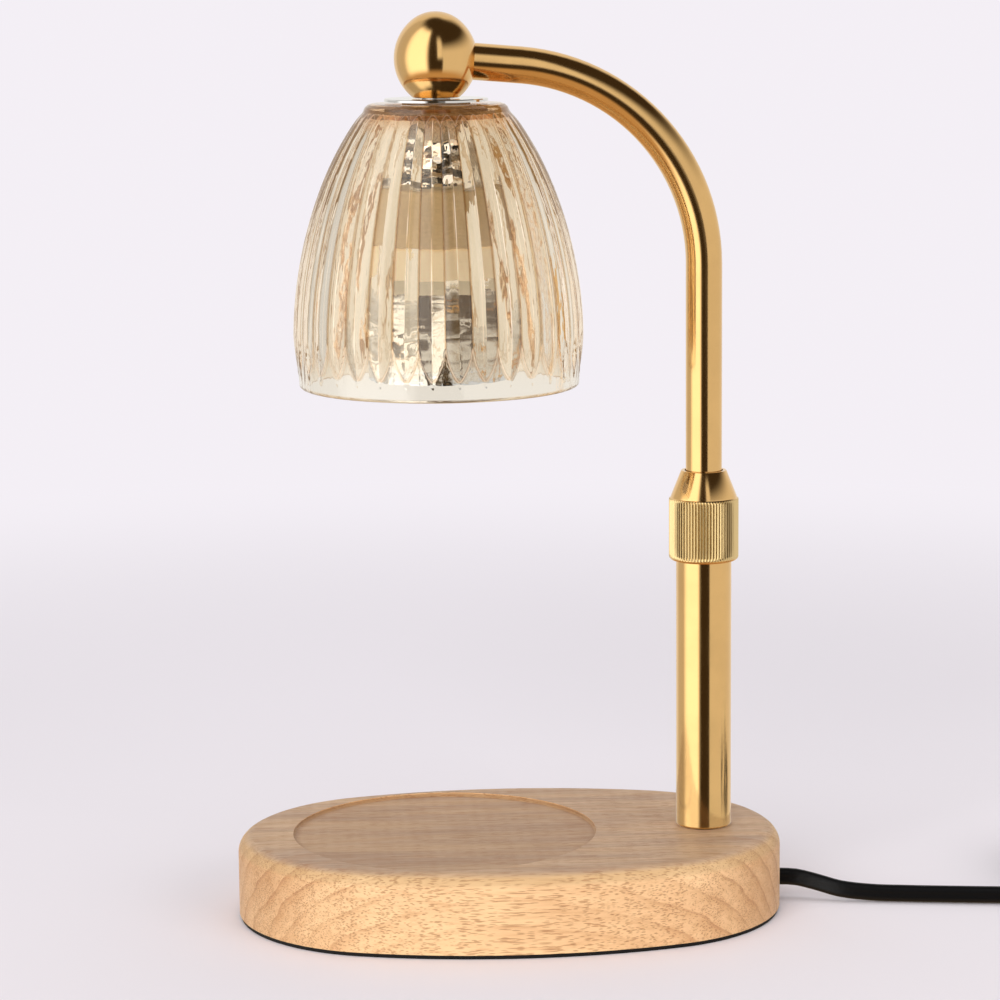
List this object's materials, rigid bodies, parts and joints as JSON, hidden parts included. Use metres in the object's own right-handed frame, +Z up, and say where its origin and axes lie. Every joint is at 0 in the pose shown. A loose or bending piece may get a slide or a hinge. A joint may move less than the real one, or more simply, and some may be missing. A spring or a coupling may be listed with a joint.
{
  "type": "candle warmer lamp",
  "caption": "Candle warmer lamp with an oval wooden base, a gold post with a clamp collar, a curved arm and a ribbed amber glass shade.",
  "frame": {"origin": "centre of the oval base on the surface that it stands on", "axes": "+Z up, +X along the base from the dish to the post, +Y to the back"},
  "size_m": [0.417, 0.1295, 0.3244],
  "materials": {
    "wood": "satin oiled light hardwood",
    "pad": "matte black foam rubber",
    "gold": "polished champagne gold plating",
    "chrome": "bright nickel plating",
    "steel": "zinc-plated steel",
    "nylon": "moulded natural nylon",
    "shade_glass": "clear pressed glass with a light amber lustre",
    "clear_glass": "clear bulb glass",
    "reflector": "silvered reflector glass",
    "ceramic": "unglazed steatite",
    "white_ceramic": "unglazed ceramic",
    "silicone": "translucent silicone",
    "black_rubber": "matte black PVC",
    "black_plastic": "fine-textured black moulding"
  },
  "bodies": {
    "root": {"wooden_base": "wood", "anti_slip_pad": "pad", "post_tube": "gold", "post_foot": "steel", "post_stud": "steel", "base_washer": "steel", "base_nut": "steel", "cord_grommet": "black_rubber", "base_lead": "black_rubber", "post_head": "steel", "power_cord": "black_rubber", "cord_coil": "black_rubber", "switch_lead": "black_rubber", "plug_lead": "black_rubber", "coil_tie": "black_rubber", "switch_base": "black_plastic", "switch_cover": "black_plastic", "switch_screws": "steel", "plug_body": "black_rubber", "plug_blades": "steel"},
    "collet": {"clamp_collet": "nylon"},
    "collar": {"clamp_collar": "gold"},
    "carriage": {"guide_ring": "nylon"},
    "arm": {"arm_tube": "gold", "arm_end_bush": "gold", "snap_ring": "steel", "lamp_ball": "gold", "ball_nipple": "steel", "shade_washer": "chrome", "top_gasket": "silicone", "glass_shade": "shade_glass", "inner_gasket": "silicone", "clamp_washer": "steel", "nipple_nut": "steel", "holder_bracket": "steel", "bracket_nut": "steel", "bracket_screws": "steel", "lampholder": "ceramic", "arm_lead": "black_rubber"},
    "bulb": {"bulb_base": "white_ceramic", "bulb_pins": "steel", "bulb_reflector": "reflector", "bulb_capsule": "clear_glass", "bulb_lens": "clear_glass"},
    "dimmer_wheel": {"switch_wheel": "black_plastic"}
  },
  "joints": [
    {"name": "collar_rise", "type": "slide", "parent": "root", "child": "collet", "axis": [0, 0, 1], "range_m": [0, 0.001]},
    {"name": "collar_turn", "type": "hinge", "parent": "collet", "child": "collar", "pos_m": [0.071, 0, 0.145], "axis": [0, 0, 1], "range_deg": [0, 360]},
    {"name": "arm_lift", "type": "slide", "parent": "root", "child": "carriage", "axis": [0, 0, 1], "range_m": [-0.032, 0.024]},
    {"name": "arm_swivel", "type": "hinge", "parent": "carriage", "child": "arm", "pos_m": [0.071, 0, 0.145], "axis": [0, 0, 1], "range_deg": [-90, 90]},
    {"name": "bulb_twist", "type": "hinge", "parent": "arm", "child": "bulb", "pos_m": [-0.0236, 0, 0.245], "axis": [0, 0, 1], "range_deg": [-20, 0]},
    {"name": "dimmer_turn", "type": "hinge", "parent": "root", "child": "dimmer_wheel", "pos_m": [0.253, -0.052, 0.008], "axis": [0, 0, 1], "range_deg": [0, 280]}
  ],
  "couplings": [
    {"joint": "collar_turn", "follows": "collar_rise", "rad_per_m": 6283.2}
  ]
}
